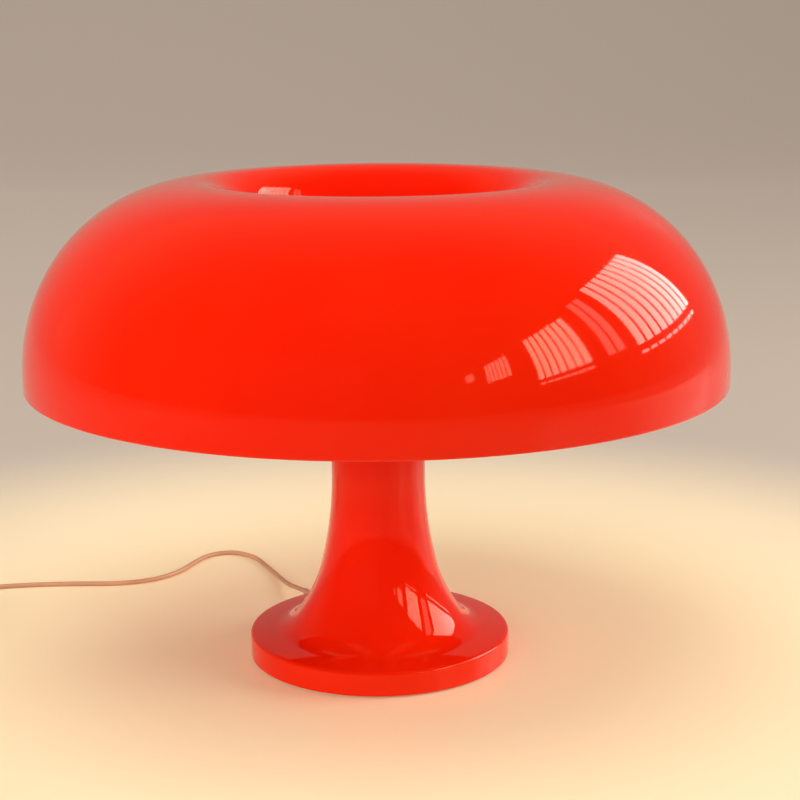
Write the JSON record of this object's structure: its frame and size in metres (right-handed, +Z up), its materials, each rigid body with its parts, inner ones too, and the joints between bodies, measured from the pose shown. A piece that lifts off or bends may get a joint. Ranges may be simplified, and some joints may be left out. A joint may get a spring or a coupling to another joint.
{
  "type": "mushroom table lamp",
  "caption": "Ring-shaped moulded shade with a funnel well on a trumpet stem, screw-in globe bulbs under it, and a mains lead with a rocker switch.",
  "frame": {"origin": "on the table, under the middle of the stem", "axes": "+Z up along the stem, -Y towards the viewer, +X to the viewer's right"},
  "size_m": [0.4484, 0.32, 0.224],
  "materials": {
    "shade_orange": "glossy moulded plastic",
    "stem_orange": "glossy moulded plastic",
    "knob_orange": "glossy moulded plastic",
    "cover_black": "fine moulded grain",
    "pad_rubber": "matt",
    "screw_steel": "zinc plated",
    "ballast_iron": "painted casting",
    "carrier_white": "satin paint",
    "seat_white": "moulded",
    "holder_white": "moulded",
    "contact_brass": "bright",
    "glass_opal": "opal white inside coating",
    "cap_metal": "rolled thread",
    "wire_brown": "sheath",
    "block_clear": "moulded",
    "cord_sand": "smooth sheath",
    "switch_sand": "satin moulded",
    "plug_sand": "satin moulded",
    "pin_nickel": "nickel plated"
  },
  "bodies": {
    "lamp": {"stem": "stem_orange", "base_cover": "cover_black", "foot_pads": "pad_rubber", "cover_screws": "screw_steel", "ballast": "ballast_iron", "tie_rod": "screw_steel", "rod_nuts": "screw_steel", "rod_washer": "screw_steel", "shade_seat": "seat_white", "socket_carrier": "carrier_white", "holder_contacts": "contact_brass", "holder_nuts": "screw_steel", "inner_lead": "cord_sand", "terminal_block": "block_clear", "terminal_screws": "screw_steel", "holder_wires": "wire_brown", "cord_gland": "cord_sand", "cord_lead": "cord_sand", "cord_link": "cord_sand", "cord_coil": "cord_sand", "cord_tail": "cord_sand", "switch_base": "switch_sand", "switch_cover": "switch_sand", "switch_screws": "screw_steel", "switch_contacts": "contact_brass", "plug_body": "plug_sand", "plug_pins": "pin_nickel", "pin_sleeves": "plug_sand", "lampholder_1": "holder_white", "lampholder_2": "holder_white", "lampholder_3": "holder_white", "lampholder_4": "holder_white"},
    "shade": {"shade": "shade_orange"},
    "knob_washer": {"knob_washer": "screw_steel"},
    "knob": {"shade_knob": "knob_orange"},
    "rocker": {"switch_rocker": "switch_sand"},
    "bulb_tip_1": {"bulb_tip_1": "contact_brass"},
    "bulb_1": {"bulb_glass_1": "glass_opal", "bulb_cap_1": "cap_metal"},
    "bulb_tip_2": {"bulb_tip_2": "contact_brass"},
    "bulb_2": {"bulb_glass_2": "glass_opal", "bulb_cap_2": "cap_metal"},
    "bulb_tip_3": {"bulb_tip_3": "contact_brass"},
    "bulb_3": {"bulb_glass_3": "glass_opal", "bulb_cap_3": "cap_metal"},
    "bulb_tip_4": {"bulb_tip_4": "contact_brass"},
    "bulb_4": {"bulb_glass_4": "glass_opal", "bulb_cap_4": "cap_metal"}
  },
  "joints": [
    {"name": "shade_lift", "type": "slide", "parent": "lamp", "child": "shade", "axis": [0, 0, 1], "range_m": [0, 0.12]},
    {"name": "knob_travel", "type": "slide", "parent": "shade", "child": "knob_washer", "axis": [0, 0, 1], "range_m": [0, 0.00701]},
    {"name": "knob_turn", "type": "hinge", "parent": "knob_washer", "child": "knob", "pos_m": [0, 0, 0.173], "axis": [0, 0, 1], "range_deg": [0, 2016]},
    {"name": "rocker_tilt", "type": "hinge", "parent": "lamp", "child": "rocker", "pos_m": [-0.216, 0.037, 0.008], "axis": [1, 0, 0], "range_deg": [0, 20]},
    {"name": "bulb_travel_1", "type": "slide", "parent": "lamp", "child": "bulb_tip_1", "axis": [0.6725, 0.6725, 0.309], "range_m": [0, 0.01693]},
    {"name": "bulb_turn_1", "type": "hinge", "parent": "bulb_tip_1", "child": "bulb_1", "pos_m": [0.01909, 0.01909, 0.1425], "axis": [0.6725, 0.6725, 0.309], "range_deg": [0, 2160]},
    {"name": "bulb_travel_2", "type": "slide", "parent": "lamp", "child": "bulb_tip_2", "axis": [-0.6725, 0.6725, 0.309], "range_m": [0, 0.01693]},
    {"name": "bulb_turn_2", "type": "hinge", "parent": "bulb_tip_2", "child": "bulb_2", "pos_m": [-0.01909, 0.01909, 0.1425], "axis": [-0.6725, 0.6725, 0.309], "range_deg": [0, 2160]},
    {"name": "bulb_travel_3", "type": "slide", "parent": "lamp", "child": "bulb_tip_3", "axis": [-0.6725, -0.6725, 0.309], "range_m": [0, 0.01693]},
    {"name": "bulb_turn_3", "type": "hinge", "parent": "bulb_tip_3", "child": "bulb_3", "pos_m": [-0.01909, -0.01909, 0.1425], "axis": [-0.6725, -0.6725, 0.309], "range_deg": [0, 2160]},
    {"name": "bulb_travel_4", "type": "slide", "parent": "lamp", "child": "bulb_tip_4", "axis": [0.6725, -0.6725, 0.309], "range_m": [0, 0.01693]},
    {"name": "bulb_turn_4", "type": "hinge", "parent": "bulb_tip_4", "child": "bulb_4", "pos_m": [0.01909, -0.01909, 0.1425], "axis": [0.6725, -0.6725, 0.309], "range_deg": [0, 2160]}
  ],
  "couplings": [
    {"joint": "knob_travel", "follows": "knob_turn", "m_per_rad": 0.00019894},
    {"joint": "bulb_travel_1", "follows": "bulb_turn_1", "m_per_rad": 0.00044882},
    {"joint": "bulb_travel_2", "follows": "bulb_turn_2", "m_per_rad": 0.00044882},
    {"joint": "bulb_travel_3", "follows": "bulb_turn_3", "m_per_rad": 0.00044882},
    {"joint": "bulb_travel_4", "follows": "bulb_turn_4", "m_per_rad": 0.00044882}
  ]
}
